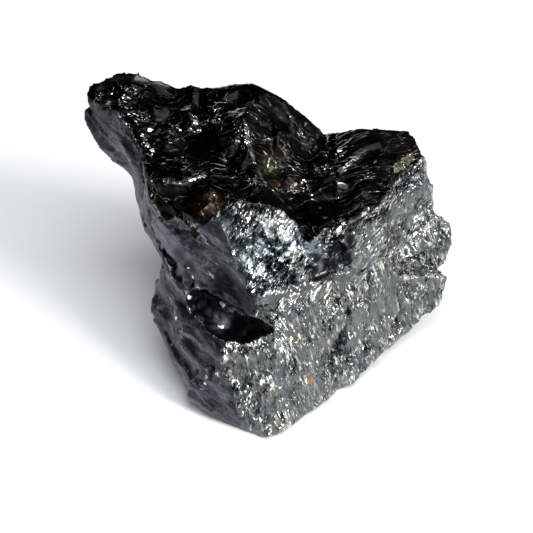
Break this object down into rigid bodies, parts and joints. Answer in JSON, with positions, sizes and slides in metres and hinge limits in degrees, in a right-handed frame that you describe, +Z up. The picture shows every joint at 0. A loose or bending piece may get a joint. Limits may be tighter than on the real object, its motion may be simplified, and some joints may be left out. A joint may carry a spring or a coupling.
{
  "type": "shungite nugget",
  "caption": "Rough nugget of black glassy shungite with a blunt horn, fracture ledges, pits and a flat broken foot it rests on.",
  "frame": {"origin": "middle of the footprint, on the surface the stone lies on", "axes": "+Z up, -Y towards the upright edge where the two front faces meet, -X towards the horn"},
  "size_m": [0.0512, 0.04, 0.0331],
  "materials": {
    "stone": "glassy, metallic black with satin and sparkling fracture faces"
  },
  "bodies": {
    "root": {"nugget": "stone"}
  },
  "joints": []
}
